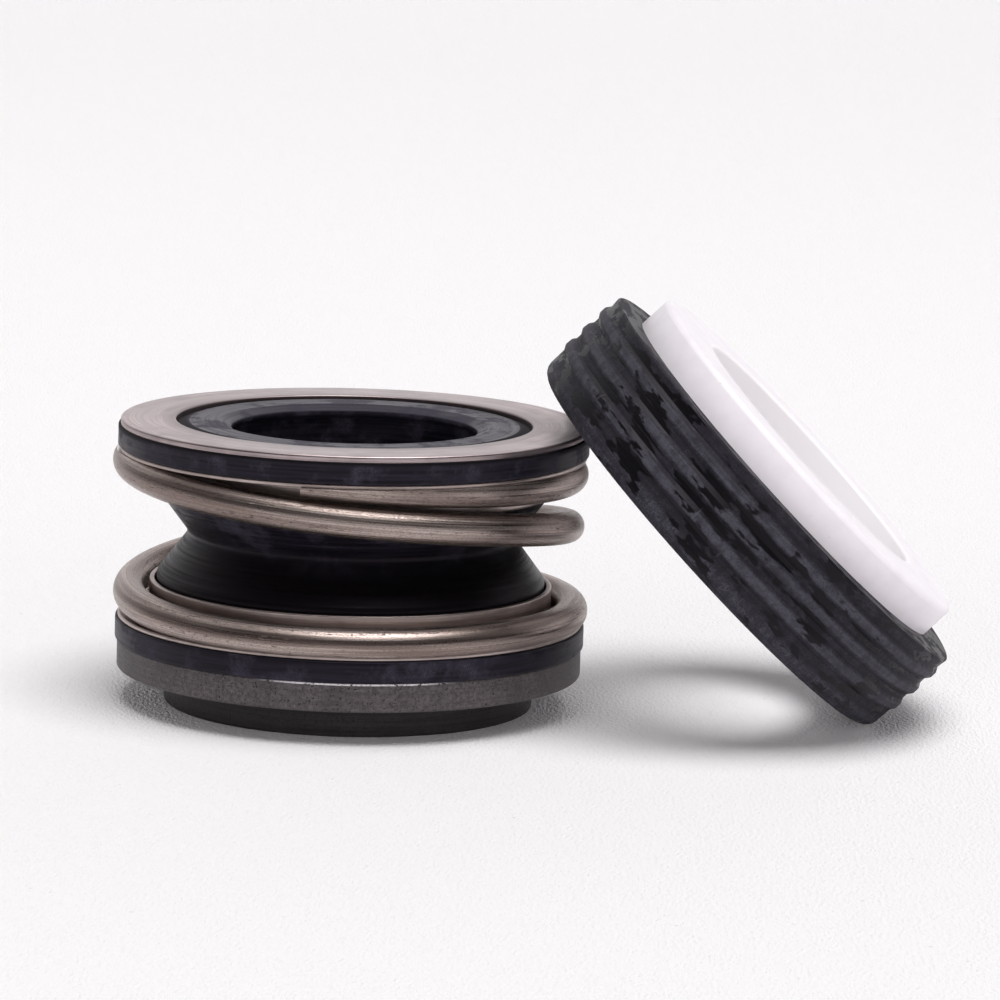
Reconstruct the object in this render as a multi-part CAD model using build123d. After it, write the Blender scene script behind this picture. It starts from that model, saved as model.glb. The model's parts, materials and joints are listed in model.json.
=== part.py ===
from build123d import *
import os
from math import cos, radians, sin

# Pump shaft seal with an elastomer bellows: the spring-loaded rotary head stands on its
# carbon face, and the stationary seat leans on the head's top rim. Millimetres, +Z up.
# The origin is the centre of the carbon face, on the surface that the seal stands on.

# ---- what the seal fits
SHAFT_DIAMETER = 15.875
HOUSING_BORE = 31.75

# ---- carbon ring: a wide flange with the lapped nose below it
NOSE_DIAMETER = 23.9
NOSE_HEIGHT = 2.2
CARBON_DIAMETER = 30.1
CARBON_FLANGE = 1.85
CARBON_SHAFT_GAP = 0.7
SPIGOT_HEIGHT = 0.8
SPIGOT_GAP = 0.08
CARBON_EDGE = 0.12

# ---- bellows: one moulding, two flanges joined by a waisted neck
RUBBER_DIAMETER = 30.4
RUBBER_FLANGE = 1.4
RUBBER_EDGE = 0.12
NECK_STRAIGHT = 2.85
WAIST_DEPTH = 2.05
WAIST_RADIUS = 0.5
SHOULDER_RADIUS = 0.6
BELLOWS_WALL = 1.65
BOSS_GAP = 0.1
BOSS_STEP = 0.15
BOSS_SLOPE = 0.7
GRIP_LENGTH = 5.6
TOP_LAND = 0.65
LOWER_LAND = 2.0
GRIP_RELIEF = 0.45
RELIEF_SLOPE = 0.3
LIP_FLARE = 0.8
LIP_DROP = 0.35
LIP_RADIUS = 0.4

# ---- sheet-metal spring washers with a collar, one at each end of the spring
WASHER_DIAMETER = 30.1
SHEET = 0.3
COLLAR_WALL = 0.36
COLLAR_HEIGHT = 2.5
COLLAR_RUBBER_GAP = 0.1
COLLAR_SPRING_GAP = 0.24
BEND_RADIUS = 0.2
SHEET_EDGE = 0.1

# ---- spring: left-hand coil with closed ends, both ground flat. Turns are in degrees from the top tip
WIRE_DIAMETER = 2.1
SPRING_DIAMETER = 28.63
SPRING_LENGTH = 10.52
TOP_GRIND = 0.085
BOTTOM_GRIND = 0.385
TIP_ANGLE = -100.0
TIP_TURN = 105.0
TIP_DEPTH = 1.28
TIP_EASE = 1.4
TOP_END_TURN = 250.0
PITCH_IN_TURN = 185.0
FULL_PITCH_TURN = 140.0
PITCH_OUT_TURN = 150.0
BOTTOM_END_TURN = 250.0
LEAN_RISE = 0.41
LEAN_TURN = 267.0
LEAN_SPAN = 120.0
WAIST_NARROWING = 0.25
WAIST_TURN = 460.0
WAIST_SPAN = 140.0
TOP_OFFSET = -0.16
BOTTOM_OFFSET = 0.04
COIL_STEP = 10.0
COIL_SPAN = 140.0

# ---- top plate
PLATE_DIAMETER = 30.1
PLATE_BORE = 23.0
PLATE_THICKNESS = 0.38
PLATE_EDGE = 0.13

# ---- seat: ribbed rubber cup round a ceramic ring
CERAMIC_DIAMETER = 27.0
CERAMIC_THICKNESS = 6.75
CERAMIC_BORE = 18.5
CERAMIC_EDGE = 0.4
CERAMIC_BORE_EDGE = 0.2
CUP_FLOOR = 2.4
CUP_DEPTH = 4.4
CUP_HOLE = 19.6
CUP_CLEARANCE = 0.02
CUP_BACK_DIAMETER = 31.2
CUP_GROOVE_DIAMETER = 31.3
CUP_FRONT_DIAMETER = 31.46
CUP_BACK_ROUND = 0.75
CUP_FRONT_ROUND = 0.15
FIRST_RIB = 2.45
RIB_SPACING = 1.5
RIB_COUNT = 3
RIB_LAND = 0.4
RIB_BASE = 1.1
RIB_ROUND = 0.12

# ---- how the seat leans on the head
SEAT_LEAN = 44.5
SEAT_TURN = -1.3
LEAN_GAP = 0.35

# ---- heights of the head, from the floor up
CARBON_TOP = NOSE_HEIGHT + CARBON_FLANGE
LOWER_FLANGE_TOP = CARBON_TOP + RUBBER_FLANGE
SPRING_BOTTOM = LOWER_FLANGE_TOP + SHEET
SPRING_TOP = SPRING_BOTTOM + SPRING_LENGTH
UPPER_FLANGE_BOTTOM = SPRING_TOP + SHEET
PLATE_BOTTOM = UPPER_FLANGE_BOTTOM + RUBBER_FLANGE
PLATE_TOP = PLATE_BOTTOM + PLATE_THICKNESS
BOSS_TOP = PLATE_TOP - BOSS_STEP

# ---- radii that follow from each other
SHAFT_R = SHAFT_DIAMETER / 2
WIRE_R = WIRE_DIAMETER / 2
COLLAR_OUTER_R = (SPRING_DIAMETER - WIRE_DIAMETER) / 2 - COLLAR_SPRING_GAP
COLLAR_INNER_R = COLLAR_OUTER_R - COLLAR_WALL
NECK_R = COLLAR_INNER_R - COLLAR_RUBBER_GAP
MOUTH_R = NECK_R - BELLOWS_WALL
CARBON_BORE_R = SHAFT_R + CARBON_SHAFT_GAP


def turned(*corners):
    """Body of revolution about Z from outline corners (radius, height, corner round)."""
    points = [(radius, height) for radius, height, _ in corners]
    rounds = [corner_round for *_, corner_round in corners]
    outline = FilletPolyline(*points, radius=rounds, close=True)
    return revolve(Plane.XZ * make_face(outline), Axis.Z)


def carbon_ring():
    """Lapped nose, flange and the low spigot that centres it in the bellows' mouth."""
    spigot_r = MOUTH_R - SPIGOT_GAP
    spigot_top = CARBON_TOP + SPIGOT_HEIGHT
    return turned(
        (CARBON_BORE_R, 0, CARBON_EDGE),
        (NOSE_DIAMETER / 2, 0, CARBON_EDGE),
        (NOSE_DIAMETER / 2, NOSE_HEIGHT, CARBON_EDGE),
        (CARBON_DIAMETER / 2, NOSE_HEIGHT, CARBON_EDGE),
        (CARBON_DIAMETER / 2, CARBON_TOP, CARBON_EDGE),
        (spigot_r, CARBON_TOP, 0),
        (spigot_r, spigot_top, CARBON_EDGE),
        (CARBON_BORE_R, spigot_top, CARBON_EDGE),
    )


def bellows():
    """Hollow spool: its top boss fills the plate and grips the shaft on two lands."""
    middle = (SPRING_BOTTOM + SPRING_TOP) / 2
    waist_r = NECK_R - WAIST_DEPTH
    boss_r = PLATE_BORE / 2 - BOSS_GAP
    grip_bottom = BOSS_TOP - GRIP_LENGTH
    land_bottom = BOSS_TOP - TOP_LAND
    lower_land_top = grip_bottom + LOWER_LAND
    relief_r = SHAFT_R + GRIP_RELIEF
    lower_shoulder = LOWER_FLANGE_TOP + NECK_STRAIGHT
    upper_shoulder = UPPER_FLANGE_BOTTOM - NECK_STRAIGHT
    return turned(
        (MOUTH_R, CARBON_TOP, 0),
        (RUBBER_DIAMETER / 2, CARBON_TOP, RUBBER_EDGE),
        (RUBBER_DIAMETER / 2, LOWER_FLANGE_TOP, RUBBER_EDGE),
        (NECK_R, LOWER_FLANGE_TOP, 0),
        (NECK_R, lower_shoulder, SHOULDER_RADIUS),
        (waist_r, middle, WAIST_RADIUS),
        (NECK_R, upper_shoulder, SHOULDER_RADIUS),
        (NECK_R, UPPER_FLANGE_BOTTOM, 0),
        (RUBBER_DIAMETER / 2, UPPER_FLANGE_BOTTOM, RUBBER_EDGE),
        (RUBBER_DIAMETER / 2, PLATE_BOTTOM, RUBBER_EDGE),
        (boss_r, PLATE_BOTTOM, 0),
        (boss_r - BOSS_SLOPE, BOSS_TOP, RUBBER_EDGE),
        (SHAFT_R + LIP_FLARE, BOSS_TOP, RUBBER_EDGE),
        (SHAFT_R, BOSS_TOP - LIP_DROP, RUBBER_EDGE),
        (SHAFT_R, land_bottom, RUBBER_EDGE),
        (relief_r, land_bottom - RELIEF_SLOPE, RUBBER_EDGE),
        (relief_r, lower_land_top + RELIEF_SLOPE, RUBBER_EDGE),
        (SHAFT_R, lower_land_top, RUBBER_EDGE),
        (SHAFT_R, grip_bottom, LIP_RADIUS),
        (MOUTH_R, lower_shoulder, SHOULDER_RADIUS),
    )


def spring_washer(back, side):
    """Flat washer whose collar stands up (side 1) or hangs down (side -1) from its back face."""
    return turned(
        (COLLAR_INNER_R, back, BEND_RADIUS + SHEET),
        (WASHER_DIAMETER / 2, back, SHEET_EDGE),
        (WASHER_DIAMETER / 2, back + side * SHEET, SHEET_EDGE),
        (COLLAR_OUTER_R, back + side * SHEET, BEND_RADIUS),
        (COLLAR_OUTER_R, back + side * COLLAR_HEIGHT, SHEET_EDGE),
        (COLLAR_INNER_R, back + side * COLLAR_HEIGHT, SHEET_EDGE),
    )


def spring_turn():
    """Angle that the wire winds through from its top tip to its bottom tip."""
    return TOP_END_TURN + PITCH_IN_TURN + FULL_PITCH_TURN + PITCH_OUT_TURN + BOTTOM_END_TURN


def swell(turn, middle, span):
    """Smooth hump, 1 at the middle turn and 0 from the span onwards."""
    return cos(radians(90 * min(abs(turn - middle) / span, 1))) ** 2


def wire_drop(turn):
    """How far the wire's centre lies below the spring's top after winding turn degrees."""
    top_seat = WIRE_R - TOP_GRIND
    bottom_seat = WIRE_R - BOTTOM_GRIND
    pitched = PITCH_IN_TURN / 2 + FULL_PITCH_TURN + PITCH_OUT_TURN / 2
    full_pitch = (SPRING_LENGTH - top_seat - bottom_seat) / pitched
    wound = turn - TOP_END_TURN
    pitch_in = min(max(wound, 0), PITCH_IN_TURN)
    steady = min(max(wound - PITCH_IN_TURN, 0), FULL_PITCH_TURN)
    pitch_out = min(max(wound - PITCH_IN_TURN - FULL_PITCH_TURN, 0), PITCH_OUT_TURN)
    eased_in = pitch_in ** 2 / (2 * PITCH_IN_TURN)
    eased_out = pitch_out - pitch_out ** 2 / (2 * PITCH_OUT_TURN)
    fall = full_pitch * (eased_in + steady + eased_out)
    top_tip = max(1 - turn / TIP_TURN, 0) ** TIP_EASE
    bottom_tip = max(1 - (spring_turn() - turn) / TIP_TURN, 0) ** TIP_EASE
    lean = LEAN_RISE * swell(turn, LEAN_TURN, LEAN_SPAN)
    return top_seat + fall + TIP_DEPTH * (bottom_tip - top_tip) - lean


def wire_centre(turn):
    """Point of the wire's centre line: the middle coil is narrower, the ends sit off the axis."""
    angle = radians(TIP_ANGLE + turn)
    radius = SPRING_DIAMETER / 2 - WAIST_NARROWING * swell(turn, WAIST_TURN, WAIST_SPAN)
    free_turn = spring_turn() - TOP_END_TURN - BOTTOM_END_TURN
    share = min(max((turn - TOP_END_TURN) / free_turn, 0), 1)
    offset = TOP_OFFSET + (BOTTOM_OFFSET - TOP_OFFSET) * share
    return radius * cos(angle) + offset, radius * sin(angle), SPRING_TOP - wire_drop(turn)


def spring():
    """Round wire along the closed, open and closed turns, ground flat at both ends."""
    steps = round(spring_turn() / COIL_STEP)
    line = Spline(*[wire_centre(spring_turn() * step / steps) for step in range(steps + 1)])
    spans = round(spring_turn() / COIL_SPAN)
    path = Wire([line.trim(span / spans, (span + 1) / spans) for span in range(spans)])
    outward = (cos(radians(TIP_ANGLE)), sin(radians(TIP_ANGLE)), 0)
    section = Plane(origin=line @ 0, x_dir=outward, z_dir=line % 0) * Circle(WIRE_R)
    wire = sweep(section, path)
    between_faces = Pos(0, 0, SPRING_BOTTOM) * Cylinder(
        SPRING_DIAMETER, SPRING_LENGTH, align=(Align.CENTER, Align.CENTER, Align.MIN)
    )
    return wire & between_faces


def top_plate():
    """Flat ring on the bellows' upper flange, round its boss, with both top edges eased."""
    return turned(
        (PLATE_BORE / 2, PLATE_BOTTOM, 0),
        (PLATE_DIAMETER / 2, PLATE_BOTTOM, 0),
        (PLATE_DIAMETER / 2, PLATE_TOP, PLATE_EDGE),
        (PLATE_BORE / 2, PLATE_TOP, PLATE_EDGE),
    )


def seat_cup():
    """Rubber cup on its own axis, back face at height 0, with ribs round its outside."""
    pocket_r = CERAMIC_DIAMETER / 2 + CUP_CLEARANCE
    front = CUP_FLOOR + CUP_DEPTH
    groove_r = CUP_GROOVE_DIAMETER / 2
    corners = [
        (CUP_HOLE / 2, 0, CUP_FRONT_ROUND),
        (CUP_BACK_DIAMETER / 2, 0, CUP_BACK_ROUND),
    ]
    for rib in range(RIB_COUNT):
        crest = FIRST_RIB + rib * RIB_SPACING
        corners += [
            (groove_r, crest - RIB_BASE / 2, RIB_ROUND),
            (HOUSING_BORE / 2, crest - RIB_LAND / 2, RIB_ROUND),
            (HOUSING_BORE / 2, crest + RIB_LAND / 2, RIB_ROUND),
            (groove_r, crest + RIB_BASE / 2, RIB_ROUND),
        ]
    corners += [
        (CUP_FRONT_DIAMETER / 2, front, CUP_FRONT_ROUND),
        (pocket_r, front, 0),
        (pocket_r, CUP_FLOOR, 0),
        (CUP_HOLE / 2, CUP_FLOOR, CUP_FRONT_ROUND),
    ]
    return turned(*corners)


def ceramic_ring():
    """Ceramic face ring on the seat's axis, bottomed in the cup and standing out of it."""
    face = CUP_FLOOR + CERAMIC_THICKNESS
    return turned(
        (CERAMIC_BORE / 2, CUP_FLOOR, CERAMIC_BORE_EDGE),
        (CERAMIC_DIAMETER / 2, CUP_FLOOR, CERAMIC_EDGE),
        (CERAMIC_DIAMETER / 2, face, CERAMIC_EDGE),
        (CERAMIC_BORE / 2, face, CERAMIC_BORE_EDGE),
    )


def seat_plane():
    """Plane of the seat's back face, turned and leant until it meets floor and top rim."""
    lean = radians(SEAT_LEAN)
    turn = radians(SEAT_TURN)
    corner_r = CUP_BACK_DIAMETER / 2 - CUP_BACK_ROUND
    height = corner_r * cos(lean) + CUP_BACK_ROUND * (1 - sin(lean))
    rim_r = PLATE_DIAMETER / 2
    reach = rim_r + ((PLATE_TOP - height) * sin(lean) + LEAN_GAP) / cos(lean)
    return Plane(
        origin=(reach * cos(turn), reach * sin(turn), height),
        x_dir=(-sin(turn), cos(turn), 0),
        z_dir=(cos(lean) * cos(turn), cos(lean) * sin(turn), sin(lean)),
    )


def seal_parts():
    """Every piece by name, in place."""
    seat = seat_plane()
    return {
        "carbon_ring": carbon_ring(),
        "bellows": bellows(),
        "lower_spring_washer": spring_washer(LOWER_FLANGE_TOP, 1),
        "spring": spring(),
        "upper_spring_washer": spring_washer(UPPER_FLANGE_BOTTOM, -1),
        "top_plate": top_plate(),
        "seat_cup": seat * seat_cup(),
        "ceramic_ring": seat * ceramic_ring(),
    }


os.makedirs("parts", exist_ok=True)
for name, piece in seal_parts().items():
    export_step(piece, f"parts/{name}.step")
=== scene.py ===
import json
import math
from collections import namedtuple

import bmesh
import bpy
from mathutils import Matrix, Vector, noise
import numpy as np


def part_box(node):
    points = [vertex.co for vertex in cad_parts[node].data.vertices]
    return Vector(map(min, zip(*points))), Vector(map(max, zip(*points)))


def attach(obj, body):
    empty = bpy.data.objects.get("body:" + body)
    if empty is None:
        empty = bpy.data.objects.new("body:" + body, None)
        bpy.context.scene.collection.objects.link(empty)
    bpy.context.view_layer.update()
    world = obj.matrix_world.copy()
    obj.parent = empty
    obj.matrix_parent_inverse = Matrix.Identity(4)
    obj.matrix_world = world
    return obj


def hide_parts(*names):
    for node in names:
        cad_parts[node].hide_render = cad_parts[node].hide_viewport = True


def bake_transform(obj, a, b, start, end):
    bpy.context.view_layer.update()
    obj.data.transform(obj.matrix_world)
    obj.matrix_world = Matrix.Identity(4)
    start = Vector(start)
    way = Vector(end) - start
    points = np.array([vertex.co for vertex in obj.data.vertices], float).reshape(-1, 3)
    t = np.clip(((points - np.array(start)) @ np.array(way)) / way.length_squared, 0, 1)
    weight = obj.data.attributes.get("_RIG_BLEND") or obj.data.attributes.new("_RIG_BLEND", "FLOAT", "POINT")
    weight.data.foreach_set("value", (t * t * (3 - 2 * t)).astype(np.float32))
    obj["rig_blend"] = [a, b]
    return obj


# Looks of the pump shaft seal. Sizes are in millimetres and become metres as a mesh is made.
MM = 0.001

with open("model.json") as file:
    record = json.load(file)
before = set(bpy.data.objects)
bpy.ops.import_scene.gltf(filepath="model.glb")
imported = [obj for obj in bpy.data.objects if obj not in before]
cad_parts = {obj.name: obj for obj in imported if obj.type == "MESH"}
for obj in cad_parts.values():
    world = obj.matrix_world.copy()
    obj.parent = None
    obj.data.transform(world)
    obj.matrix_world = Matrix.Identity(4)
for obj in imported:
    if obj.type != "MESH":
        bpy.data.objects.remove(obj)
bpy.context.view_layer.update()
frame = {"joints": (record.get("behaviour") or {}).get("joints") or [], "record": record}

# ---- camera: its place, its turns in degrees, and its lens for the sensor's width
CAMERA_PLACE = (9.522, -334.311, 68.059)
CAMERA_PITCH = 9.276
CAMERA_ROLL = 1.735
CAMERA_LENS = 188.54
SENSOR = 36.0
CLIP_START = 10.0

# ---- light: a broad overhead lamp, and a white tent that is brightest low down in front and behind.
# The pairs are parts of the unit direction to the tent, between which it changes.
LAMP_LEAN = 14.0
LAMP_TOWARDS = 305.0
LAMP_SPREAD = 45.0
LAMP_STRENGTH = 2.33
FILL_TOP = 0.08
FILL_LOW = 2.3
FILL_SIDE = 0.35
FILL_ENDS = (0.25, 0.85)
FILL_RISE = (0.15, 0.6)
GLOSS_FRONT = 0.06
GLOSS_SIDE = 0.32
GLOSS_TOP = 0.6
GLOSS_DEPTH = (-0.6, 0.5)
GLOSS_WIDTH = (0.4, 0.95)
GLOSS_RISE = (0.65, 0.95)

# ---- floor: half its side, where it turns greyer behind, and its grain in features per mm
FLOOR_REACH = 3000
FLOOR_FADE = (40.0, 600.0)
FLOOR_GRAIN = (4.2, 1.8, 1.0)

# ---- head, inner sizes that the frame's boxes don't give. EDGE is the usual round of an edge.
EDGE = 0.12
NOSE_R = 11.95
NOSE_HEIGHT = 2.2
CARBON_FLANGE = 1.85
CARBON_BORE_R = 8.6375
SPIGOT_GAP = 0.08
RUBBER_FLANGE = 1.4
SHEET = 0.3
SHEET_EDGE = 0.1
NECK_R = 12.565
MOUTH_R = 10.915
COLLAR_INNER_R = 12.665
COLLAR_OUTER_R = 13.025
COLLAR_ROUND = 0.5
NECK_STRAIGHT = 2.85
NECK_ROUND = 0.6
WAIST_DEPTH = 2.05
WAIST_ROUND = 0.5
PLATE_BORE_R = 11.5
PLATE_EDGE = 0.13
BOSS_R = 11.4
BOSS_SLOPE = 0.7
BOSS_STEP = 0.15
SHAFT_R = 7.9375
LIP_FLARE = 0.8
LIP_DROP = 0.35
RELIEF_R = 8.3875
GRIP_LENGTH = 5.6
GRIP_ROUND = 0.4
TOP_LAND = 0.65
LOWER_LAND = 2.0
RELIEF_SLOPE = 0.3

# ---- spring: turns are in degrees from the top tip
WIRE_R = 1.05
COIL_R = 14.315
TOP_GRIND = 0.085
BOTTOM_GRIND = 0.385
TIP_ANGLE = -100.0
TIP_TURN = 105.0
TIP_DEPTH = 1.28
TIP_EASE = 1.4
TOP_END_TURN = 250.0
PITCH_IN_TURN = 185.0
FULL_PITCH_TURN = 140.0
PITCH_OUT_TURN = 150.0
BOTTOM_END_TURN = 250.0
LEAN_RISE = 0.41
LEAN_TURN = 267.0
LEAN_SPAN = 120.0
WAIST_NARROWING = 0.25
WAIST_TURN = 460.0
WAIST_SPAN = 140.0
TOP_OFFSET = -0.16
BOTTOM_OFFSET = 0.04
SQUEEZE_FROM = 360.0
SQUEEZE_TO = 700.0
DEGREES_PER_RING = 2.0
WIRE_SIDES = 36
TANGENT_STEP = 0.5
GROUND_EDGE_ANGLE = 30.0
CUT_TOLERANCE = 1e-8

# ---- seat, in its own frame: height 0 at the back face
CUP_HOLE_R = 9.8
CUP_BACK_R = 15.6
CUP_BACK_ROUND = 0.75
CUP_EDGE = 0.15
CUP_GROOVE_R = 15.65
CUP_RIB_R = 15.875
CUP_FRONT_R = 15.73
CUP_FLOOR = 2.4
CUP_FRONT = 6.8
FIRST_RIB = 2.45
RIB_SPACING = 1.5
RIB_COUNT = 3
RIB_LAND = 0.4
RIB_BASE = 1.1
WEAR_DEPTH = 0.06
WEAR_SPREAD = 0.25
WEAR_AROUND = 5
WEAR_ALONG = 1.5
CERAMIC_R = 13.5
CERAMIC_BORE_R = 9.25
CERAMIC_THICKNESS = 6.75
CERAMIC_RIM_ROUND = 0.4
CERAMIC_BORE_ROUND = 0.2
CUP_CLEARANCE = 0.02

# ---- steps round a lathe piece
TURN_STEPS = 320

# ---- marks in the materials, painted shade, sheen and highlights among them. A pair is a height or radius at which a
# mark starts and ends, except that a boss line's is its radius and width.
# width of the painted shade at a sheet's inner edge
INNER_SHADE_WIDTH = 1.5
# NECK_FADE and NECK_SHADE: radius and heights over which the painted shade low in the bellows' neck fades
# out
NECK_FADE = 0.4
NECK_SHADE = (9.5, 13.5)
# heights of the boss top, which gets a painted sheen, its ring lines and painted shade at its root
BOSS_HEIGHT = (17.6, 17.9)
# light ring lines on the boss; the inner one lies on the lip's edge and is a painted highlight
BOSS_LINES = ((9.7, 0.14), (8.75, 0.1))
# radii of the painted shade at the boss's root, beside the plate
BOSS_ROOT = (BOSS_R - BOSS_SLOPE - 0.1, BOSS_R - BOSS_SLOPE + 0.15)
# height over which the painted shade on the carbon nose fades out
NOSE_FADE = 0.1
# heights of the glint painted along the carbon's top edge
GLINT_HEIGHT = (3.9, 3.96)
CUP_BACK_FADE = (0.9, 1.4)
PATCH_SHIFT = 23.0
TIP_LENGTH = 0.004

# ---- cosines: of the turn about the axis of the glint painted along the carbon's top edge, and of a ground face's tilt
GLINT_MIDDLE = 0.06
GLINT_SPREAD = (0.22, 0.45)
GROUND_UPRIGHT = 0.9995

# ---- shares: the colour of a stain, and of the painted shade at a sheet's inner edge, to the steel's; and where most of a noise's values lie
STAIN_AND_SHADE_DEPTH = 0.62
NOISE_LOW = 0.3
NOISE_HIGH = 0.7

# ---- colours, linear
WHITE = (0.955, 0.938, 0.95)
FAR_WHITE = (0.905, 0.889, 0.9)
FLOOR_SPECK = (0.55, 0.5, 0.52)
WASHER_BRIGHT = (0.55, 0.47, 0.45)
WASHER_DARK = (0.36, 0.3, 0.28)
PLATE_BRIGHT = (0.55, 0.465, 0.475)
PLATE_DARK = (0.36, 0.295, 0.295)
WIRE_DARK = (0.26, 0.205, 0.185)
WIRE_BRIGHT = (0.52, 0.44, 0.405)
WIRE_TARNISH = (0.17, 0.125, 0.11)
WIRE_FLECK = (0.14, 0.112, 0.102)
WIRE_PIT = (0.05, 0.042, 0.04)
WIRE_GROUND = (0.74, 0.68, 0.65)
RUBBER_DARK = (0.004, 0.0036, 0.006)
RUBBER_BRIGHT = (0.014, 0.0125, 0.02)
# painted shade low in the bellows' neck
RUBBER_PAINTED_SHADE = (0.0012, 0.0011, 0.0014)
RUBBER_DUST = (0.058, 0.054, 0.076)
# painted sheen on the boss top
BOSS_PAINTED_SHEEN = (0.08, 0.074, 0.096)
# light boss ring lines, the inner one a painted highlight
BOSS_LINE_AND_HIGHLIGHT = (0.075, 0.075, 0.095)
# painted shade at the boss's root
BOSS_ROOT_PAINTED_SHADE = (0.0015, 0.0014, 0.0018)
CARBON_DARK = (0.045, 0.039, 0.041)
CARBON_BRIGHT = (0.105, 0.092, 0.096)
CARBON_LINE = (0.035, 0.031, 0.032)
CARBON_CLOUD = (0.04, 0.035, 0.037)
# painted shade on the carbon nose
CARBON_NOSE_SHADE = (0.006, 0.005, 0.0053)
CARBON_PORE = (0.01, 0.009, 0.0095)
# painted glint on the carbon's top edge
CARBON_PAINTED_GLINT = (0.8, 0.76, 0.78)
BLOOM_DARK = (0.019, 0.018, 0.0245)
BLOOM_BRIGHT = (0.06, 0.058, 0.072)
BLOOM_MOTTLE = (0.014, 0.0135, 0.018)
BLOOM_STREAK = (0.011, 0.0105, 0.014)
# painted shade in the cup's grooves, then a painted highlight on its rib crests
GROOVE_PAINTED_SHADE = (0.007, 0.0065, 0.009)
CREST_PAINTED_HIGHLIGHT = (0.07, 0.068, 0.084)
CUP_WIPED = (0.0018, 0.0016, 0.0023)
CUP_SCRATCH = (0.1, 0.098, 0.115)
CERAMIC_WHITE = (0.885, 0.84, 0.885)
CERAMIC_MOTTLE = (0.85, 0.805, 0.85)
CERAMIC_SPECK = (0.5, 0.46, 0.47)
# painted light in the ceramic's bore
CERAMIC_BORE_PAINTED_LIGHT = (0.965, 0.935, 0.955)


def box_mm(node):
    """Lowest and highest corner of a CAD node, in millimetres."""
    low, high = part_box(node)
    return low / MM, high / MM


# ---- meshes


def arc_points(before, corner, after, radius, step=0.35):
    """Points of the round that replaces a corner of an outline, about a step of radians apart."""
    a = (Vector(before) - Vector(corner)).normalized()
    b = (Vector(after) - Vector(corner)).normalized()
    half = math.acos(max(-1.0, min(1.0, a.dot(b)))) / 2
    reach = radius / math.tan(half)
    centre = Vector(corner) + (a + b).normalized() * (radius / math.sin(half))
    start = Vector(corner) + a * reach
    end = Vector(corner) + b * reach
    count = max(3, round((math.pi - 2 * half) / step))
    first = math.atan2(*(start - centre).yx)
    swing = math.atan2(*(end - centre).yx) - first
    swing = (swing + math.pi) % (2 * math.pi) - math.pi
    angles = [first + swing * k / count for k in range(count + 1)]
    return [centre + radius * Vector((math.cos(angle), math.sin(angle))) for angle in angles]


def rounded(corners, spacing, margin=0.03):
    """Closed outline with its corners rounded and its straight runs divided, closely at their ends."""
    runs = []
    for index, (r, z, radius) in enumerate(corners):
        before = corners[index - 1][:2]
        after = corners[(index + 1) % len(corners)][:2]
        if radius > 0:
            runs.append(arc_points(before, (r, z), after, radius))
        else:
            runs.append([Vector((r, z))])
    outline = []
    for index, run in enumerate(runs):
        outline += run
        start = run[-1]
        end = runs[(index + 1) % len(runs)][0]
        length = (end - start).length
        if length > 3 * margin:
            count = max(1, round((length - 2 * margin) / spacing))
            near = margin / length
            outline += [start.lerp(end, near + (1 - 2 * near) * k / count) for k in range(count + 1)]
    return outline


def mesh_object(name, vertices, faces, sharp=35.0):
    """Smooth-shaded mesh with its edges sharp above an angle; corners given in millimetres."""
    mesh = bpy.data.meshes.new(name)
    mesh.from_pydata([tuple(c * MM for c in v) for v in vertices], [], faces)
    bm = bmesh.new()
    bm.from_mesh(mesh)
    bmesh.ops.recalc_face_normals(bm, faces=bm.faces)
    bm.to_mesh(mesh)
    bm.free()
    mesh.shade_smooth()
    mesh.set_sharp_from_angle(angle=math.radians(sharp))
    piece = bpy.data.objects.new(name, mesh)
    bpy.context.scene.collection.objects.link(piece)
    return piece


def keep_vectors(piece, name, vectors):
    """Stores a vector at each corner point, for the materials."""
    attribute = piece.data.attributes.new(name, "FLOAT_VECTOR", "POINT")
    attribute.data.foreach_set("vector", [c for v in vectors for c in v])


def lathe(name, corners, place=None, shape=None, spacing=0.5):
    """Turned piece about Z, then moved to its place. shape(r, z, angle) may wear each point down."""
    outline = rounded(corners, spacing)
    count = len(outline)
    vertices = []
    for turn in range(TURN_STEPS):
        angle = 2 * math.pi * turn / TURN_STEPS
        for r, z in outline:
            if shape:
                r, z = shape(r, z, angle)
            vertices.append((r * math.cos(angle), r * math.sin(angle), z))
    faces = []
    for turn in range(TURN_STEPS):
        here = turn * count
        there = (turn + 1) % TURN_STEPS * count
        for k in range(count):
            following = (k + 1) % count
            faces.append((here + k, there + k, there + following, here + following))
    piece = mesh_object(name, vertices, faces)
    keep_vectors(piece, "local", vertices)
    if place:
        piece.data.transform(place)
    return piece


def spring_turn():
    """Angle that the wire winds through from its top tip to its bottom tip."""
    return TOP_END_TURN + PITCH_IN_TURN + FULL_PITCH_TURN + PITCH_OUT_TURN + BOTTOM_END_TURN


def swell(turn, middle, span):
    """Smooth hump, 1 at the middle turn and 0 from the span onwards."""
    return math.cos(math.radians(90 * min(abs(turn - middle) / span, 1))) ** 2


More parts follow.
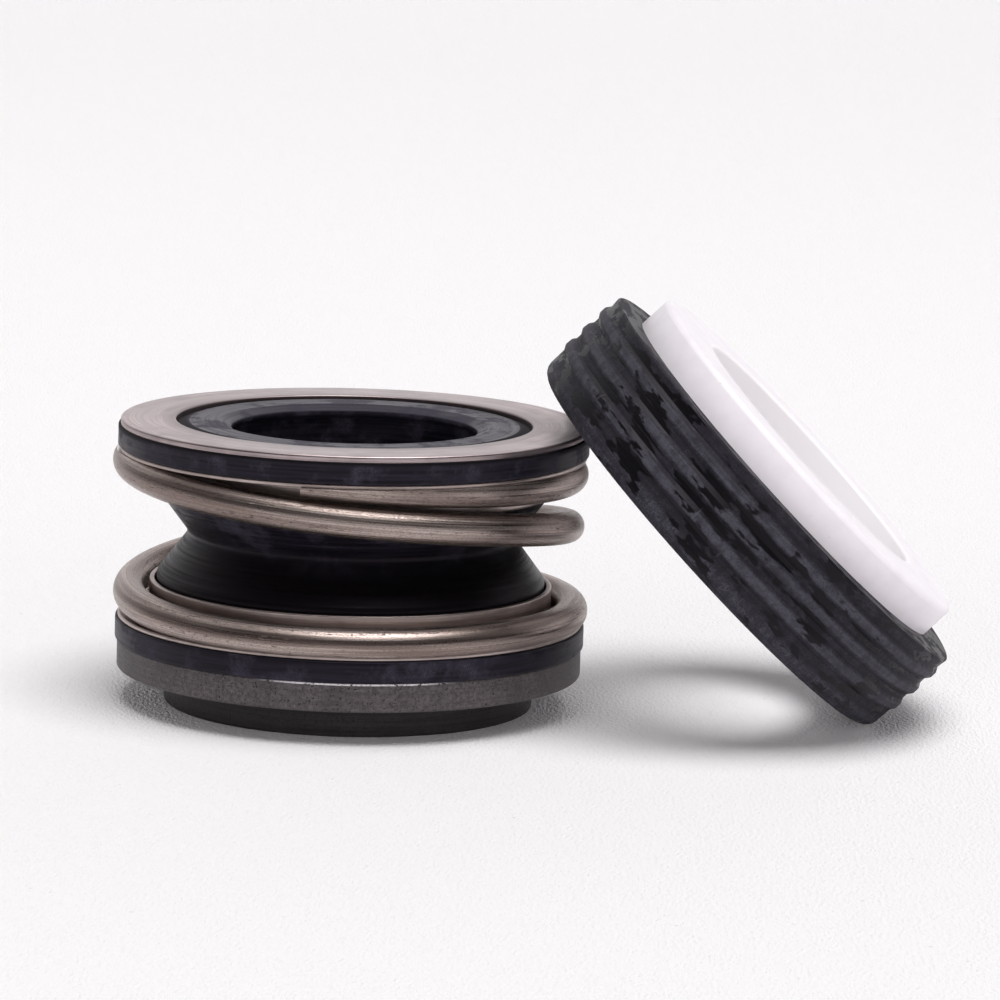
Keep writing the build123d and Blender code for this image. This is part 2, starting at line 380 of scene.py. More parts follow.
def wire_drop(turn, length):
    """Depth of the wire's centre under the spring's top, for a spring of that length."""
    top_seat = WIRE_R - TOP_GRIND
    bottom_seat = WIRE_R - BOTTOM_GRIND
    pitched = PITCH_IN_TURN / 2 + FULL_PITCH_TURN + PITCH_OUT_TURN / 2
    full_pitch = (length - top_seat - bottom_seat) / pitched
    wound = turn - TOP_END_TURN
    pitch_in = min(max(wound, 0), PITCH_IN_TURN)
    steady = min(max(wound - PITCH_IN_TURN, 0), FULL_PITCH_TURN)
    pitch_out = min(max(wound - PITCH_IN_TURN - FULL_PITCH_TURN, 0), PITCH_OUT_TURN)
    eased_in = pitch_in ** 2 / (2 * PITCH_IN_TURN)
    eased_out = pitch_out - pitch_out ** 2 / (2 * PITCH_OUT_TURN)
    fall = full_pitch * (eased_in + steady + eased_out)
    top_tip = max(1 - turn / TIP_TURN, 0) ** TIP_EASE
    bottom_tip = max(1 - (spring_turn() - turn) / TIP_TURN, 0) ** TIP_EASE
    lean = LEAN_RISE * swell(turn, LEAN_TURN, LEAN_SPAN)
    return top_seat + fall + TIP_DEPTH * (bottom_tip - top_tip) - lean


def wire_centre(turn, top, length):
    """Point of the wire's centre line: the middle coil is narrower, the ends sit off the axis."""
    angle = math.radians(TIP_ANGLE + turn)
    radius = COIL_R - WAIST_NARROWING * swell(turn, WAIST_TURN, WAIST_SPAN)
    free_turn = spring_turn() - TOP_END_TURN - BOTTOM_END_TURN
    share = min(max((turn - TOP_END_TURN) / free_turn, 0), 1)
    offset = TOP_OFFSET + (BOTTOM_OFFSET - TOP_OFFSET) * share
    height = top - wire_drop(turn, length)
    return Vector((radius * math.cos(angle) + offset, radius * math.sin(angle), height))


def wire_mesh(top, length):
    """Round wire swept along its centre line, before the ends are ground flat."""
    rings = round(spring_turn() / DEGREES_PER_RING)
    vertices = []
    along = []
    for ring in range(rings + 1):
        turn = spring_turn() * ring / rings
        angle = math.radians(TIP_ANGLE + turn)
        centre = wire_centre(turn, top, length)
        ahead = wire_centre(turn + TANGENT_STEP, top, length)
        behind = wire_centre(turn - TANGENT_STEP, top, length)
        tangent = (ahead - behind).normalized()
        outward = Vector((math.cos(angle), math.sin(angle), 0))
        outward = (outward - tangent * outward.dot(tangent)).normalized()
        upward = outward.cross(tangent)
        for side in range(WIRE_SIDES):
            about = 2 * math.pi * side / WIRE_SIDES
            vertices.append(centre + WIRE_R * (outward * math.cos(about) + upward * math.sin(about)))
            along.append((math.cos(about), math.sin(about), math.radians(turn) * COIL_R))
    top_cap = tuple(range(WIRE_SIDES))
    bottom_cap = tuple(rings * WIRE_SIDES + side for side in reversed(range(WIRE_SIDES)))
    faces = [top_cap, bottom_cap]
    for ring in range(rings):
        for side in range(WIRE_SIDES):
            following = (side + 1) % WIRE_SIDES
            here = ring * WIRE_SIDES
            there = here + WIRE_SIDES
            faces.append((here + side, there + side, there + following, here + following))
    piece = mesh_object("coil_spring", vertices, faces)
    keep_vectors(piece, "wire", along)
    return piece


def make_spring():
    """Coil spring with both ends ground flat at the heights of the CAD spring's faces."""
    low, high = box_mm("spring")
    piece = wire_mesh(high.z, high.z - low.z)
    bm = bmesh.new()
    bm.from_mesh(piece.data)
    for height, way in ((high.z, 1), (low.z, -1)):
        cut = bmesh.ops.bisect_plane(
            bm, geom=bm.verts[:] + bm.edges[:] + bm.faces[:], dist=CUT_TOLERANCE,
            plane_co=(0, 0, height * MM), plane_no=(0, 0, way), clear_outer=True,
        )
        rim = [e for e in cut["geom_cut"] if isinstance(e, bmesh.types.BMEdge)]
        bmesh.ops.holes_fill(bm, edges=rim, sides=0)
    bm.to_mesh(piece.data)
    bm.free()
    piece.data.shade_smooth()
    piece.data.set_sharp_from_angle(angle=math.radians(GROUND_EDGE_ANGLE))
    return piece


def squeeze_spring(piece):
    """Lets the open coils close evenly and the closed end coils stay as they are."""
    low, high = box_mm("spring")
    length = high.z - low.z
    travel = abs(frame["joints"][0]["range_m"][0]) / MM
    squeezed_top = wire_drop(SQUEEZE_FROM, length)
    squeezed_end = wire_drop(SQUEEZE_TO, length) - travel
    blend = piece.data.attributes["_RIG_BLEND"]
    for index, place in enumerate(piece.data.attributes["wire"].data):
        turn = math.degrees(place.vector.z / COIL_R)
        share = (turn - SQUEEZE_FROM) / (SQUEEZE_TO - SQUEEZE_FROM)
        squeezed = squeezed_top + (squeezed_end - squeezed_top) * share
        drop = wire_drop(turn, length)
        if share <= 0:
            squeezed = drop
        if share >= 1:
            squeezed = drop - travel
        blend.data[index].value = 1 - (drop - squeezed) / travel


def make_carbon():
    low, high = box_mm("carbon_ring")
    flange_top = NOSE_HEIGHT + CARBON_FLANGE
    spigot_r = MOUTH_R - SPIGOT_GAP
    return lathe("carbon_face_ring", [
        (CARBON_BORE_R, low.z, EDGE),
        (NOSE_R, low.z, EDGE),
        (NOSE_R, NOSE_HEIGHT, EDGE),
        (high.x, NOSE_HEIGHT, EDGE),
        (high.x, flange_top, EDGE),
        (spigot_r, flange_top, 0),
        (spigot_r, high.z, EDGE),
        (CARBON_BORE_R, high.z, EDGE),
    ])


def make_bellows():
    low, high = box_mm("bellows")
    plate_low, plate_high = box_mm("top_plate")
    lower_flange = low.z + RUBBER_FLANGE
    upper_flange = plate_low.z - RUBBER_FLANGE
    boss_top = plate_high.z - BOSS_STEP
    grip_bottom = boss_top - GRIP_LENGTH
    land_bottom = boss_top - TOP_LAND
    lower_land_top = grip_bottom + LOWER_LAND
    return lathe("rubber_bellows", [
        (MOUTH_R, low.z, 0),
        (high.x, low.z, EDGE),
        (high.x, lower_flange, EDGE),
        (NECK_R, lower_flange, 0),
        (NECK_R, lower_flange + NECK_STRAIGHT, NECK_ROUND),
        (NECK_R - WAIST_DEPTH, (lower_flange + upper_flange) / 2, WAIST_ROUND),
        (NECK_R, upper_flange - NECK_STRAIGHT, NECK_ROUND),
        (NECK_R, upper_flange, 0),
        (high.x, upper_flange, EDGE),
        (high.x, plate_low.z, EDGE),
        (BOSS_R, plate_low.z, 0),
        (BOSS_R - BOSS_SLOPE, boss_top, EDGE),
        (SHAFT_R + LIP_FLARE, boss_top, EDGE),
        (SHAFT_R, boss_top - LIP_DROP, EDGE),
        (SHAFT_R, land_bottom, EDGE),
        (RELIEF_R, land_bottom - RELIEF_SLOPE, EDGE),
        (RELIEF_R, lower_land_top + RELIEF_SLOPE, EDGE),
        (SHAFT_R, lower_land_top, EDGE),
        (SHAFT_R, grip_bottom, GRIP_ROUND),
        (MOUTH_R, lower_flange + NECK_STRAIGHT, NECK_ROUND),
    ])


def make_washer(name, node, side):
    """Flat washer whose collar stands up (side 1) or hangs down (side -1)."""
    low, high = box_mm(node)
    back = low.z if side > 0 else high.z
    end = high.z if side > 0 else low.z
    return lathe(name, [
        (COLLAR_INNER_R, back, COLLAR_ROUND),
        (high.x, back, SHEET_EDGE),
        (high.x, back + side * SHEET, SHEET_EDGE),
        (COLLAR_OUTER_R, back + side * SHEET, COLLAR_ROUND - SHEET),
        (COLLAR_OUTER_R, end, SHEET_EDGE),
        (COLLAR_INNER_R, end, SHEET_EDGE),
    ])


def make_plate():
    low, high = box_mm("top_plate")
    return lathe("top_plate_ring", [
        (PLATE_BORE_R, low.z, 0),
        (high.x, low.z, 0),
        (high.x, high.z, PLATE_EDGE),
        (PLATE_BORE_R, high.z, PLATE_EDGE),
    ])


def worn_rib(r, z, angle):
    """Rubber flow and wear: the ribs' crests are a little uneven."""
    if r > CUP_GROOVE_R:
        around = Vector((math.cos(angle) * WEAR_AROUND, math.sin(angle) * WEAR_AROUND, z * WEAR_ALONG))
        r -= WEAR_DEPTH * max(noise.noise(around) + WEAR_SPREAD, 0)
    return r, z


def make_cup(place):
    corners = [
        (CUP_HOLE_R, 0, CUP_EDGE),
        (CUP_BACK_R, 0, CUP_BACK_ROUND),
    ]
    for rib in range(RIB_COUNT):
        crest = FIRST_RIB + rib * RIB_SPACING
        corners += [
            (CUP_GROOVE_R, crest - RIB_BASE / 2, EDGE),
            (CUP_RIB_R, crest - RIB_LAND / 2, EDGE),
            (CUP_RIB_R, crest + RIB_LAND / 2, EDGE),
            (CUP_GROOVE_R, crest + RIB_BASE / 2, EDGE),
        ]
    corners += [
        (CUP_FRONT_R, CUP_FRONT, CUP_EDGE),
        (CERAMIC_R + CUP_CLEARANCE, CUP_FRONT, 0),
        (CERAMIC_R + CUP_CLEARANCE, CUP_FLOOR, 0),
        (CUP_HOLE_R, CUP_FLOOR, CUP_EDGE),
    ]
    return lathe("seat_rubber_cup", corners, place, worn_rib)


def make_ceramic(place):
    face = CUP_FLOOR + CERAMIC_THICKNESS
    return lathe("ceramic_face_ring", [
        (CERAMIC_BORE_R, CUP_FLOOR, CERAMIC_BORE_ROUND),
        (CERAMIC_R, CUP_FLOOR, CERAMIC_RIM_ROUND),
        (CERAMIC_R, face, CERAMIC_RIM_ROUND),
        (CERAMIC_BORE_R, face, CERAMIC_BORE_ROUND),
    ], place)


def seat_place():
    """Place of the seat's own frame: its axis is the ceramic bore's, and its x lies level."""
    bore = next(m for m in frame["record"]["mounts"] if m["name"] == "ceramic_bore")
    axis = Vector(bore["axis"]).normalized()
    back = Vector(bore["pos_m"]) - axis * (CUP_FLOOR + CERAMIC_THICKNESS / 2) * MM
    level = Vector((0, 0, 1)).cross(axis).normalized()
    turn = Matrix((level, axis.cross(level), axis)).transposed()
    return Matrix.Translation(back) @ turn.to_4x4()


# ---- materials: colours are linear, scales are features per mm and bump depths are in mm

Turned = namedtuple("Turned", "cosine sine height radius")


class Graph:
    """A node tree and its shader. Each call adds a node and returns its output socket."""

    def __init__(self, block, shader):
        block.use_nodes = True
        self.block = block
        self.tree = block.node_tree
        self.shader = self.tree.nodes[shader]

    def set(self, socket, value):
        self.put(self.shader.inputs[socket], value)

    def put(self, socket, value):
        if isinstance(value, bpy.types.NodeSocket):
            self.tree.links.new(value, socket)
        else:
            socket.default_value = value

    def add(self, kind, inputs, output=0, **settings):
        node = self.tree.nodes.new("ShaderNode" + kind)
        for key, value in settings.items():
            setattr(node, key, value)
        for key, value in inputs.items():
            self.put(node.inputs[key], value)
        return node.outputs[output]

    def attribute(self, name):
        return self.add("Attribute", {}, "Vector", attribute_name=name)

    def split(self, vector):
        node = self.tree.nodes.new("ShaderNodeSeparateXYZ")
        self.put(node.inputs[0], vector)
        return node.outputs

    def vector(self, x, y, z):
        return self.add("CombineXYZ", {0: x, 1: y, 2: z})

    def math(self, operation, a, b=0.0, c=0.0):
        return self.add("Math", {0: a, 1: b, 2: c}, operation=operation)

    def plus(self, a, b):
        return self.math("ADD", a, b)

    def times(self, a, b):
        return self.math("MULTIPLY", a, b)

    def larger(self, a, b):
        return self.math("MAXIMUM", a, b)

    def absolute(self, value):
        return self.math("ABSOLUTE", value)

    def without(self, share):
        """What a share from 0 to 1 leaves."""
        return self.math("SUBTRACT", 1.0, share)

    def ramp(self, value, low=NOISE_LOW, high=NOISE_HIGH, out_low=0.0, out_high=1.0):
        """Smooth change from out_low to out_high as the value goes from low to high."""
        inputs = {"Value": value, "From Min": low, "From Max": high, "To Min": out_low, "To Max": out_high}
        return self.add("MapRange", inputs, interpolation_type="SMOOTHSTEP")

    def mix(self, share, under, over):
        """The colour under, covered by a share of the colour over."""
        return self.add("Mix", {0: share, 6: rgba(under), 7: rgba(over)}, 2, data_type="RGBA")

    def bump(self, height, depth, under=None):
        """Height from 0 to 1 as relief of that depth, on top of another bump."""
        inputs = {"Strength": 1.0, "Distance": depth * MM, "Height": height}
        if under:
            inputs["Normal"] = under
        return self.add("Bump", inputs)

    def noise(self, place, scale=1.0, detail=2.0, roughness=0.5, **settings):
        """Cloudy noise, mostly between NOISE_LOW and NOISE_HIGH."""
        inputs = {"Vector": place, "Scale": scale, "Detail": detail, "Roughness": roughness}
        return self.add("TexNoise", inputs, **settings)

    def turned(self):
        """Where a point lies on its own lathe piece: about the axis, along it and away from it."""
        x, y, z = self.split(self.attribute("local"))
        radius = self.math("SQRT", self.plus(self.times(x, x), self.times(y, y)))
        return Turned(self.math("DIVIDE", x, radius), self.math("DIVIDE", y, radius), z, radius)

    def rings(self, turned, around, along, across, detail=2.0, roughness=0.5):
        """Noise drawn out round the axis, in features per radian, per mm up and per mm of radius."""
        place = self.vector(
            self.times(turned.cosine, around),
            self.times(turned.sine, around),
            self.times(turned.height, along),
        )
        cloud = self.noise(place, 1.0, detail, roughness, noise_dimensions="4D")
        self.put(cloud.node.inputs["W"], self.times(turned.radius, across))
        return cloud

    def circle(self, turned, radius, width):
        """1 on a circle of that radius, falling to 0 at half the width either side."""
        off = self.absolute(self.math("SUBTRACT", turned.radius, radius))
        return self.ramp(off, 0.0, width / 2, 1.0, 0.0)


def rgba(colour):
    return (*colour, 1) if isinstance(colour, tuple) else colour


def surface(name, specular=0.5, metallic=0.0, anisotropic=0.0, tint=(1.0, 1.0, 1.0)):
    """Material with its constant sockets set, as a graph to add nodes to."""
    graph = Graph(bpy.data.materials.new(name), "Principled BSDF")
    graph.set("Specular Tint", rgba(tint))
    graph.set("Specular IOR Level", specular)
    graph.set("Metallic", metallic)
    graph.set("Anisotropic", anisotropic)
    return graph


def sheet_steel(name, bright, dark):
    """Stainless sheet with fine turning lines, faint stains, and painted shade that darkens it towards its
    inner edge.
    """
    graph = surface(name, metallic=1.0, anisotropic=0.5)
    local = graph.attribute("local")
    turned = graph.turned()
    fine = graph.rings(turned, around=2.0, along=9.0, across=13.0, roughness=0.65)
    broad = graph.rings(turned, around=1.4, along=1.5, across=1.8, detail=1.0)
    stain = graph.noise(local, scale=0.28, detail=3.0, roughness=0.6)
    grain = graph.noise(local, scale=11.0, detail=1.0, roughness=0.6)
    # painted shade: the sheet darkens towards its inner edge, beside the boss
    painted_inner_shade = graph.ramp(turned.radius, PLATE_BORE_R, PLATE_BORE_R + INNER_SHADE_WIDTH, 0.75, 0.0)
    stain_and_shade = tuple(c * STAIN_AND_SHADE_DEPTH for c in dark)
    colour = graph.mix(graph.ramp(fine), dark, bright)
    colour = graph.mix(graph.ramp(broad, 0.35, 0.65, 0.0, 0.6), colour, dark)
    colour = graph.mix(graph.ramp(stain, 0.42, 0.7, 0.0, 0.5), colour, stain_and_shade)
    colour = graph.mix(painted_inner_shade, colour, stain_and_shade)
    colour = graph.mix(graph.ramp(grain, 0.62, 0.75, 0.0, 0.35), colour, stain_and_shade)
    graph.set("Base Color", colour)
    graph.set("Roughness", graph.ramp(graph.plus(fine, broad), 0.6, 1.4, 0.44, 0.28))
    graph.set("Normal", graph.bump(grain, 0.004, graph.bump(fine, 0.008)))
    graph.set("Tangent", graph.add("Tangent", {}, direction_type="RADIAL", axis="Z"))
    return graph.block


def spring_wire():
    """Drawn stainless wire: lengthwise draw lines, rows of short pits, bright ground faces and tips."""
    graph = surface("spring_wire", metallic=1.0)
    cosine, sine, length = graph.split(graph.attribute("wire"))

    def lines(around, along, shift, detail=1.0):
        """Noise drawn out along the wire. Each shift gives another one."""
        place = graph.vector(
            graph.times(cosine, around),
            graph.times(sine, around),
            graph.math("MULTIPLY_ADD", length, along, shift),
        )
        return graph.noise(place, 1.0, detail, roughness=0.6)

    drawn = lines(around=11.0, along=0.1, shift=0.0)
    tarnish = lines(around=1.3, along=0.09, shift=40.0)
    pits = lines(around=13.0, along=2.2, shift=80.0)
    rows = lines(around=3.0, along=0.07, shift=120.0, detail=0.0)
    fleck = lines(around=16.0, along=9.0, shift=160.0)
    pitted = graph.times(graph.ramp(pits, 0.6, 0.68), graph.ramp(rows, 0.5, 0.62))
    upright = graph.absolute(graph.split(graph.add("NewGeometry", {}, "True Normal"))[2])
    ground = graph.math("GREATER_THAN", upright, GROUND_UPRIGHT)
    tip = graph.math("LESS_THAN", length, TIP_LENGTH)
    colour = graph.mix(graph.ramp(drawn), WIRE_DARK, WIRE_BRIGHT)
    colour = graph.mix(graph.ramp(tarnish, 0.4, 0.65, 0.0, 0.7), colour, WIRE_TARNISH)
    colour = graph.mix(graph.ramp(fleck, 0.5, 0.7, 0.0, 0.6), colour, WIRE_FLECK)
    colour = graph.mix(graph.times(pitted, 0.55), colour, WIRE_PIT)
    colour = graph.mix(graph.larger(ground, tip), colour, WIRE_GROUND)
    graph.set("Base Color", colour)
    rough = graph.ramp(graph.plus(drawn, fleck), 0.7, 1.3, 0.27, 0.45)
    graph.set("Roughness", graph.plus(rough, graph.times(pitted, 0.2)))
    relief = graph.bump(graph.without(pitted), 0.015, graph.bump(drawn, 0.006))
    graph.set("Normal", graph.bump(fleck, 0.008, relief))
    return graph.block


def bellows_rubber():
    """Blue-black moulded rubber: mould rings and smudges on the bands, painted shade low in the neck; on the
    boss a painted sheen, light ring lines (the inner one a painted highlight along the lip's edge) and
    painted shade at its root.
    """
    graph = surface("bellows_rubber", specular=0.16, tint=(0.97, 0.8, 1.0))
    local = graph.attribute("local")
    turned = graph.turned()
    streak = graph.rings(turned, around=1.5, along=5.0, across=5.0, roughness=0.6)
    mould = graph.rings(turned, around=0.3, along=2.4, across=2.4, detail=1.0)
    smudge = graph.noise(local, scale=0.35, detail=4.0, roughness=0.7)
    pore = graph.noise(local, scale=12.0, detail=2.0, roughness=0.6)

    # painted shade: the lower neck, between the flanges, is darkened
    neck = graph.ramp(turned.radius, NECK_R, NECK_R + NECK_FADE, 1.0, 0.0)
    painted_neck_shade = graph.times(neck, graph.without(graph.ramp(turned.height, *NECK_SHADE)))
    # painted sheen: the boss top is lightened
    boss = graph.ramp(turned.height, *BOSS_HEIGHT)
    # light ring lines on the boss; the inner one, on the lip's edge, is a painted highlight
    first_line, lip_edge_highlight = (graph.circle(turned, radius, width) for radius, width in BOSS_LINES)
    broken = graph.times(boss, graph.ramp(streak, 0.3, 0.65, 0.3, 1.0))
    lines = graph.times(graph.larger(first_line, lip_edge_highlight), broken)
    # painted shade: the boss's root beside the plate is blackened
    painted_root_shade = graph.times(boss, graph.ramp(turned.radius, *BOSS_ROOT))
    dust = graph.times(graph.ramp(smudge, 0.47, 0.66), graph.ramp(pore, 0.35, 0.7, 0.3, 1.0))
    dust = graph.times(dust, graph.without(graph.larger(painted_neck_shade, painted_root_shade)))

    colour = graph.mix(graph.ramp(streak, 0.35, 0.7), RUBBER_DARK, RUBBER_BRIGHT)
    colour = graph.mix(painted_neck_shade, colour, RUBBER_PAINTED_SHADE)
    colour = graph.mix(graph.times(boss, 0.3), colour, BOSS_PAINTED_SHEEN)
    colour = graph.mix(lines, colour, BOSS_LINE_AND_HIGHLIGHT)
    colour = graph.mix(painted_root_shade, colour, BOSS_ROOT_PAINTED_SHADE)
    colour = graph.mix(graph.times(dust, 0.7), colour, RUBBER_DUST)
    graph.set("Base Color", colour)
    matte = graph.plus(graph.plus(streak, dust), painted_root_shade)
    graph.set("Roughness", graph.ramp(matte, 0.35, 1.0, 0.36, 0.7))
    relief = graph.bump(streak, 0.012, graph.bump(mould, 0.06))
    graph.set("Normal", graph.bump(pore, 0.008, relief))
    return graph.block


def carbon_graphite():
    """Pressed carbon: matte graphite grey with grains and pores, its nose painted darker as shade under the
    flange, and a painted glint along the front of its top edge.
    """
    graph = surface("carbon_graphite", specular=0.3, tint=(1.0, 0.93, 0.97))
    local = graph.attribute("local")
    turned = graph.turned()
    line = graph.rings(turned, around=1.5, along=8.0, across=8.0, detail=1.0, roughness=0.6)
    grain = graph.noise(local, scale=4.0, detail=3.0, roughness=0.7)
    cloud = graph.noise(local, scale=0.45, detail=3.0, roughness=0.6)
    pore = graph.noise(local, scale=9.0, detail=0.0, roughness=0.0)

    # painted shade: the nose under the flange is darkened
    nose_shade = graph.ramp(turned.height, NOSE_HEIGHT - NOSE_FADE, NOSE_HEIGHT + NOSE_FADE, 0.88, 0.0)
    nose_shade = graph.times(nose_shade, graph.ramp(line, 0.3, 0.7, 1.0, 0.75))
    # painted glint: a bright streak along the front of the top edge
    from_middle = graph.absolute(graph.math("SUBTRACT", turned.cosine, GLINT_MIDDLE))
    stretch = graph.ramp(from_middle, *GLINT_SPREAD, 1.0, 0.0)
    front = graph.times(stretch, graph.math("LESS_THAN", turned.sine, 0.0))
    painted_glint = graph.times(graph.ramp(turned.height, *GLINT_HEIGHT), graph.ramp(grain, 0.36, 0.5))

    colour = graph.mix(graph.ramp(grain), CARBON_DARK, CARBON_BRIGHT)
    colour = graph.mix(graph.ramp(line, 0.4, 0.7, 0.0, 0.4), colour, CARBON_LINE)
    colour = graph.mix(graph.ramp(cloud, 0.4, 0.7, 0.0, 0.5), colour, CARBON_CLOUD)
    colour = graph.mix(nose_shade, colour, CARBON_NOSE_SHADE)
    colour = graph.mix(graph.ramp(pore, 0.7, 0.76), colour, CARBON_PORE)
    colour = graph.mix(graph.times(painted_glint, front), colour, CARBON_PAINTED_GLINT)
    graph.set("Base Color", colour)
    graph.set("Roughness", graph.ramp(grain, NOISE_LOW, NOISE_HIGH, 0.4, 0.58))
    relief = graph.bump(grain, 0.014, graph.bump(line, 0.01))
    graph.set("Normal", graph.bump(graph.ramp(pore, 0.68, 0.76, 1.0, 0.0), 0.03, relief))
    return graph.block


def cup_rubber():
    """Moulded rubber with a grey bloom that is rubbed off in black patches and streaks, painted shade in its
    grooves and a painted highlight on its rib crests.
    """
    graph = surface("cup_rubber", specular=0.22, tint=(0.95, 0.86, 1.0))
    local = graph.attribute("local")
    turned = graph.turned()
    shifted = turned._replace(height=graph.plus(turned.height, PATCH_SHIFT))
    patch = graph.rings(shifted, around=5.0, along=0.85, across=0.85, detail=3.0, roughness=0.65)
    streak = graph.rings(turned, around=1.6, along=3.4, across=3.4, roughness=0.6)
    powder = graph.noise(local, scale=8.0, detail=3.0, roughness=0.75)
    mottle = graph.noise(local, scale=1.3, detail=3.0, roughness=0.65)
    scratch = graph.rings(turned, around=30.0, along=0.5, across=0.5, detail=1.0, roughness=0.6)

    outside = graph.ramp(turned.height, *CUP_BACK_FADE)
    # the grooves get painted shade and the rib crests a painted highlight; the grooves also hold more of the
    # wiped patches
    low_place = graph.ramp(turned.radius, CUP_GROOVE_R - 0.02, CUP_GROOVE_R + 0.2, 1.0, 0.0)
    groove = graph.times(low_place, outside)
    high_place = graph.ramp(turned.radius, CUP_GROOVE_R + 0.1, CUP_RIB_R)
    crest = graph.times(high_place, graph.ramp(mottle, 0.35, 0.65, 1.0, 0.5))
    wiped = graph.ramp(graph.math("MULTIPLY_ADD", groove, 0.07, patch), 0.54, 0.59)

    bloom = graph.mix(graph.ramp(powder), BLOOM_DARK, BLOOM_BRIGHT)
    bloom = graph.mix(graph.ramp(mottle, 0.4, 0.65, 0.0, 0.7), bloom, BLOOM_MOTTLE)
    bloom = graph.mix(graph.ramp(streak, 0.4, 0.65, 0.0, 0.6), bloom, BLOOM_STREAK)
    bloom = graph.mix(graph.times(groove, 0.6), bloom, GROOVE_PAINTED_SHADE)
    bloom = graph.mix(graph.times(crest, 0.5), bloom, CREST_PAINTED_HIGHLIGHT)
    colour = graph.mix(wiped, bloom, CUP_WIPED)
    colour = graph.mix(graph.ramp(scratch, 0.7, 0.76, 0.0, 0.25), colour, CUP_SCRATCH)
    graph.set("Base Color", colour)
    graph.set("Roughness", graph.math("SUBTRACT", 0.7, graph.times(wiped, 0.28)))
    relief = graph.bump(graph.without(wiped), 0.015, graph.bump(streak, 0.04))
    graph.set("Normal", graph.bump(powder, 0.014, relief))
    return graph.block


def white_ceramic():
    """Dense white ceramic: faint grinding rings and a slightly mottled, satin surface, its bore whitened as
    painted light that lifts the shade inside it.
    """
    graph = surface("white_ceramic", specular=0.4)
    local = graph.attribute("local")
    turned = graph.turned()
    line = graph.rings(turned, around=1.5, along=7.0, across=7.0, detail=1.0, roughness=0.6)
    mottle = graph.noise(local, scale=0.6, detail=3.0, roughness=0.6)
    speck = graph.noise(local, scale=5.0, detail=0.0, roughness=0.0)
    # painted light: the bore is whitened to lift the shade inside it
    bore = graph.ramp(turned.radius, CERAMIC_BORE_R + 0.1, CERAMIC_BORE_R + 0.3, 1.0, 0.0)
    colour = graph.mix(graph.ramp(mottle, 0.35, 0.7), CERAMIC_WHITE, CERAMIC_MOTTLE)
    colour = graph.mix(graph.ramp(speck, 0.84, 0.88, 0.0, 0.3), colour, CERAMIC_SPECK)
    graph.set("Base Color", graph.mix(bore, colour, CERAMIC_BORE_PAINTED_LIGHT))
    graph.set("Roughness", graph.ramp(mottle, NOISE_LOW, NOISE_HIGH, 0.28, 0.38))
    graph.set("Normal", graph.bump(line, 0.003))
    return graph.block


def floor_sheet():
    """White studio sheet with a fine leathery grain and a few specks of dust, greyer far behind."""
    graph = surface("floor_sheet", specular=0.0)
    place = graph.attribute("local")
    stretched = graph.add("Mapping", {"Vector": place, "Scale": FLOOR_GRAIN})
    grain = graph.noise(stretched, detail=1.0, roughness=0.55)
    speck = graph.noise(place, scale=1.7, detail=0.0, roughness=0.0)
    behind = graph.ramp(graph.split(place)[1], *FLOOR_FADE)
    colour = graph.mix(behind, WHITE, FAR_WHITE)
    graph.set("Base Color", graph.mix(graph.ramp(speck, 0.86, 0.88, 0.0, 0.3), colour, FLOOR_SPECK))
    graph.set("Roughness", 0.6)
    graph.set("Normal", graph.bump(grain, 0.13))
    return graph.block


# ---- studio


def make_camera():
    pitch = math.radians(CAMERA_PITCH)
    roll = math.radians(CAMERA_ROLL)
    forward = Vector((0, math.cos(pitch), -math.sin(pitch)))
    level = Vector((1, 0, 0))
    upright = level.cross(forward)
    right = math.cos(roll) * level + math.sin(roll) * upright
    up = -math.sin(roll) * level + math.cos(roll) * upright
    data = bpy.data.cameras.new("camera")
    data.lens = CAMERA_LENS
    data.sensor_width = SENSOR
    data.clip_start = CLIP_START * MM
    camera = bpy.data.objects.new("camera", data)
    turn = Matrix((right, up, -forward)).transposed().to_4x4()
    camera.matrix_world = Matrix.Translation(Vector(CAMERA_PLACE) * MM) @ turn
    bpy.context.scene.collection.objects.link(camera)
    bpy.context.scene.camera = camera


def make_floor():
    reach = FLOOR_REACH
    corners = [(-reach, -reach, 0), (reach, -reach, 0), (reach, reach, 0), (-reach, reach, 0)]
    floor = mesh_object("floor", corners, [(0, 1, 2, 3)])
    keep_vectors(floor, "local", corners)
    floor.data.materials.append(floor_sheet())


def make_lamp():
    lean = math.radians(LAMP_LEAN)
    towards = math.radians(LAMP_TOWARDS)
    data = bpy.data.lights.new("softbox", "SUN")
    data.energy = LAMP_STRENGTH
    data.angle = math.radians(LAMP_SPREAD)
    lamp = bpy.data.objects.new("softbox", data)
    source = Vector((math.sin(lean) * math.cos(towards), math.sin(lean) * math.sin(towards), math.cos(lean)))
    lamp.rotation_mode = "QUATERNION"
    lamp.rotation_quaternion = source.to_track_quat("Z", "Y")
    bpy.context.scene.collection.objects.link(lamp)


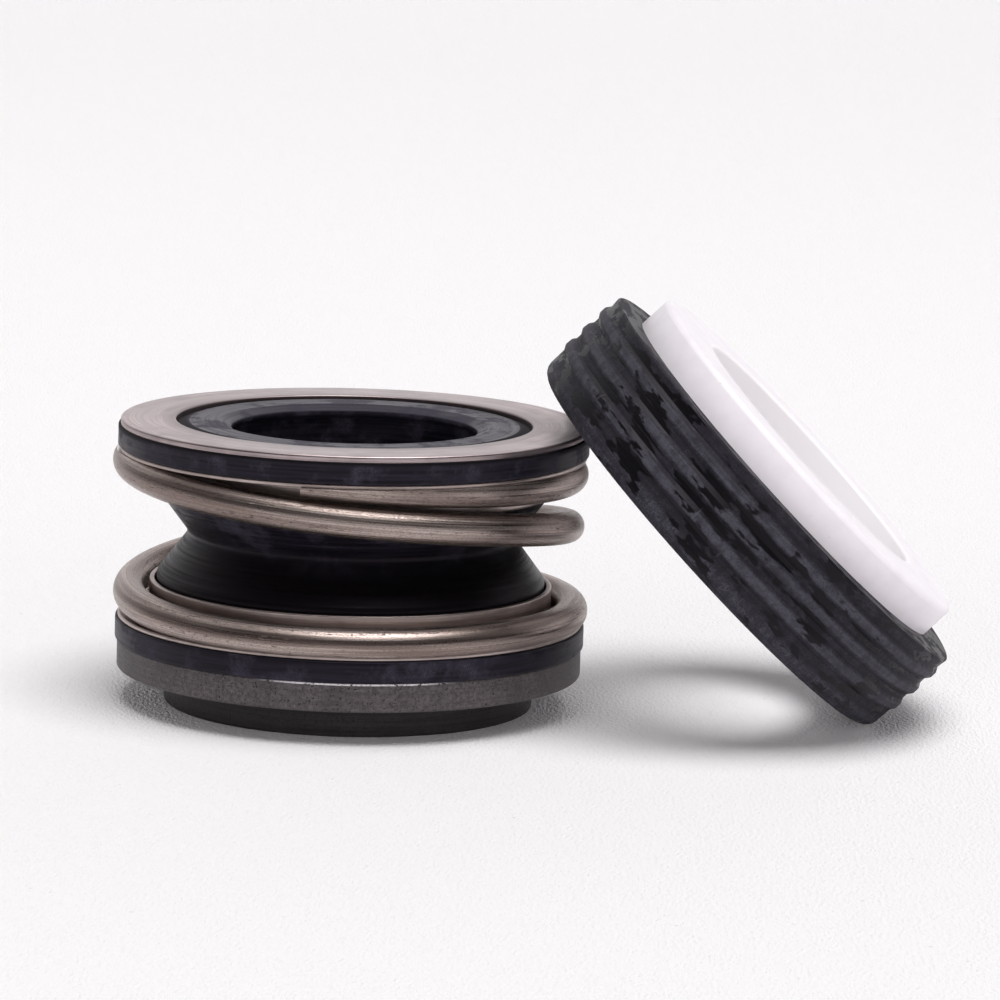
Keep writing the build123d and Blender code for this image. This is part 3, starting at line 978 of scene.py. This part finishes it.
def make_tent():
    """White tent: one pattern lights surfaces, another shows in reflections, the camera sees it plain."""
    world = bpy.data.worlds.new("tent")
    bpy.context.scene.world = world
    graph = Graph(world, "Background")
    x, y, z = graph.split(graph.add("TexCoord", {}, "Generated"))
    ends = graph.ramp(graph.absolute(y), *FILL_ENDS, FILL_SIDE, 1.0)
    low = graph.ramp(z, *FILL_RISE, FILL_LOW, 0.0)
    fill = graph.math("MULTIPLY_ADD", low, ends, FILL_TOP)
    back = graph.ramp(y, *GLOSS_DEPTH, GLOSS_FRONT, 1.0)
    sides = graph.ramp(graph.absolute(x), *GLOSS_WIDTH, 1.0, GLOSS_SIDE)
    overhead = graph.ramp(z, *GLOSS_RISE, 0.0, GLOSS_TOP)
    shine = graph.larger(graph.times(back, sides), overhead)
    path = graph.tree.nodes.new("ShaderNodeLightPath").outputs
    glossy = graph.larger(path["Is Glossy Ray"], path["Is Transmission Ray"])
    strength = graph.add("Mix", {0: glossy, 2: fill, 3: shine})
    graph.set("Strength", graph.larger(strength, path["Is Camera Ray"]))
    graph.set("Color", rgba(WHITE))


make_camera()
make_floor()
make_lamp()
make_tent()
bpy.context.scene.view_settings.view_transform = "Standard"

washer_steel = sheet_steel("washer_sheet", WASHER_BRIGHT, WASHER_DARK)
plate_steel = sheet_steel("plate_sheet", PLATE_BRIGHT, PLATE_DARK)
seat = seat_place()
for piece, node, body, slot, material in (
    (make_carbon(), "carbon_ring", "face_group", "carbon", carbon_graphite()),
    (
        make_washer("lower_collar_washer", "lower_spring_washer", 1),
        "lower_spring_washer", "face_group", "washer_steel", washer_steel,
    ),
    (
        make_washer("upper_collar_washer", "upper_spring_washer", -1),
        "upper_spring_washer", "holder", "washer_steel", washer_steel,
    ),
    (make_plate(), "top_plate", "holder", "plate_steel", plate_steel),
    (make_cup(seat), "seat_cup", "face_group", "cup_rubber", cup_rubber()),
    (make_ceramic(seat), "ceramic_ring", "face_group", "white_ceramic", white_ceramic()),
    (make_bellows(), "bellows", None, "bellows_rubber", bellows_rubber()),
    (make_spring(), "spring", None, "spring_steel", spring_wire()),
):
    piece.data.materials.append(material)
    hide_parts(node)
    if body:
        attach(piece, body)
        continue
    still_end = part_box("lower_spring_washer")[0].z
    moving_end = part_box("upper_spring_washer")[1].z
    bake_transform(piece, "face_group", "holder", (0, 0, still_end), (0, 0, moving_end))
    if node == "spring":
        squeeze_spring(piece)
